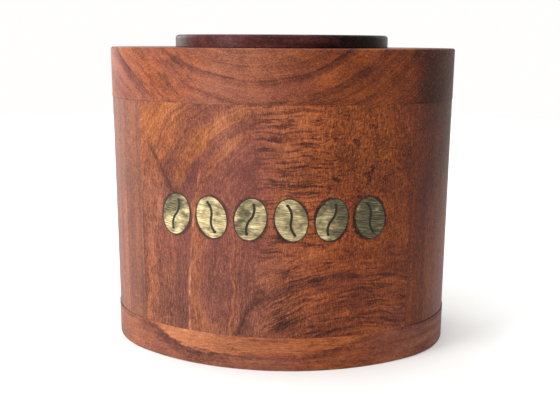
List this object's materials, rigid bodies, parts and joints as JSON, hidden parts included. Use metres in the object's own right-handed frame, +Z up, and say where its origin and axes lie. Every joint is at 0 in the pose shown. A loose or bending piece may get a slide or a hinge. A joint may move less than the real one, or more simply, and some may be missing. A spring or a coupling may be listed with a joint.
{
  "type": "canister",
  "caption": "Oval hardwood canister with a round lift-off lid that plugs into a bored top board, and a row of flush brass bean-shaped inlays across the front.",
  "frame": {"origin": "centre of the flat underside that the canister stands on", "axes": "+X along the width, to the right of someone who faces the inlays; +Y from the inlaid front to the back; +Z up"},
  "size_m": [0.1788, 0.13, 0.1592],
  "materials": {
    "wall_wood": "figured reddish hardwood, satin lacquer",
    "board_wood": "figured reddish hardwood, satin lacquer",
    "lid_wood": "dark purple-brown hardwood, satin lacquer",
    "plug_wood": "turned hardwood, oiled",
    "dowel_wood": "plain fluteless dowel, unfinished",
    "inlay_brass": "sanded flush, aged, with dark patina patches",
    "screw_brass": "turned, bright",
    "filler": "dark tinted epoxy, sanded flush",
    "gasket_rubber": "matt black, moulded"
  },
  "bodies": {
    "canister": {"base_board": "board_wood", "base_dowels": "dowel_wood", "wall_front": "wall_wood", "wall_back": "wall_wood", "wall_left": "wall_wood", "wall_right": "wall_wood", "top_board": "board_wood", "top_dowels": "dowel_wood", "inlay_1": "inlay_brass", "inlay_2": "inlay_brass", "inlay_3": "inlay_brass", "inlay_4": "inlay_brass", "inlay_5": "inlay_brass", "inlay_6": "inlay_brass", "inlay_filler": "filler"},
    "lid_seal": {"lid_gasket": "gasket_rubber"},
    "lid": {"lid_disc": "lid_wood", "lid_plug": "plug_wood", "lid_screws": "screw_brass"}
  },
  "joints": [
    {"name": "lid_lift", "type": "slide", "parent": "canister", "child": "lid_seal", "axis": [0, 0, 1], "range_m": [0, 0.15]},
    {"name": "lid_turn", "type": "hinge", "parent": "lid_seal", "child": "lid", "pos_m": [0, 0, 0.145], "axis": [0, 0, 1], "continuous": true}
  ]
}
